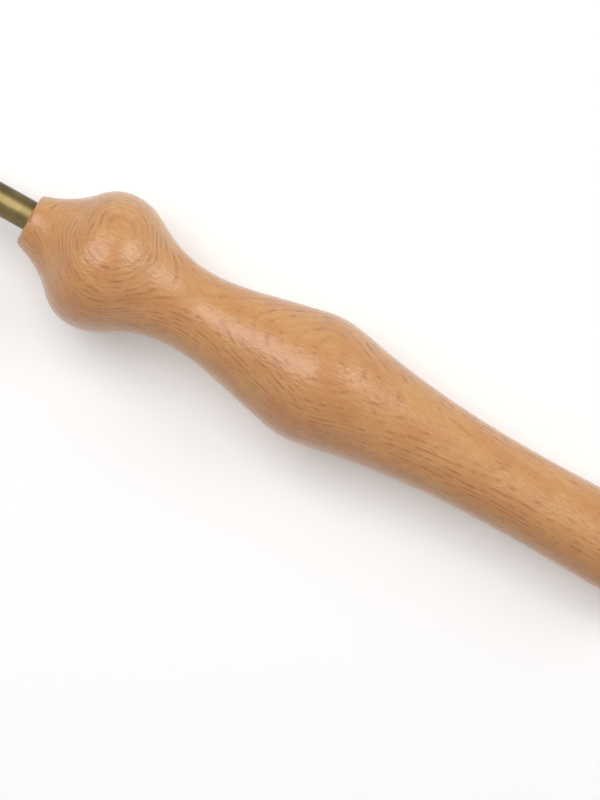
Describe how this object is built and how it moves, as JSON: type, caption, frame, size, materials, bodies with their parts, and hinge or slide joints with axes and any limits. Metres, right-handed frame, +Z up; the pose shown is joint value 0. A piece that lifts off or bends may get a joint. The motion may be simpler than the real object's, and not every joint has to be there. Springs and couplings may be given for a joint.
{
  "type": "punch needle",
  "caption": "Adjustable punch needle for rug yarn: turned wooden handle with a sliding tubular needle that a small side screw clamps.",
  "frame": {"origin": "on the handle's turning axis, at the nose face that stops against the cloth", "axes": "+X along the handle's axis from the needle's point to the rear end of the handle, +Z up as the tool lies on a table, needle's slanting mouth facing up, clamp screw on the -Y side below the middle, needle 0.6 mm off the axis towards +Y"},
  "size_m": [0.187, 0.0256, 0.0256],
  "materials": {
    "beech": "steamed beech, turned, clear satin varnish",
    "bronze_tube": "antique bronze coloured brass tube, drawn and lightly polished",
    "brass": "turned brass, bright",
    "black_steel": "alloy steel, black oxide",
    "nylon": "natural nylon, cut"
  },
  "bodies": {
    "handle": {"handle": "beech", "threaded_insert": "brass"},
    "needle": {"needle_tube": "bronze_tube"},
    "clamp_pad": {"clamp_pad": "nylon"},
    "clamp_screw": {"clamp_screw": "black_steel"}
  },
  "joints": [
    {"name": "needle_slide", "type": "slide", "parent": "handle", "child": "needle", "axis": [1, 0, 0], "range_m": [-0.01, 0.02]},
    {"name": "clamp_pad_slide", "type": "slide", "parent": "handle", "child": "clamp_pad", "axis": [0, -0.8192, -0.5736], "range_m": [0, 0.0014]},
    {"name": "clamp_screw_turn", "type": "hinge", "parent": "clamp_pad", "child": "clamp_screw", "pos_m": [0.0153, 0.0006, 0], "axis": [0, -0.8192, -0.5736], "range_deg": [0, 720]}
  ],
  "couplings": [
    {"joint": "clamp_screw_turn", "follows": "clamp_pad_slide", "rad_per_m": 8976}
  ]
}
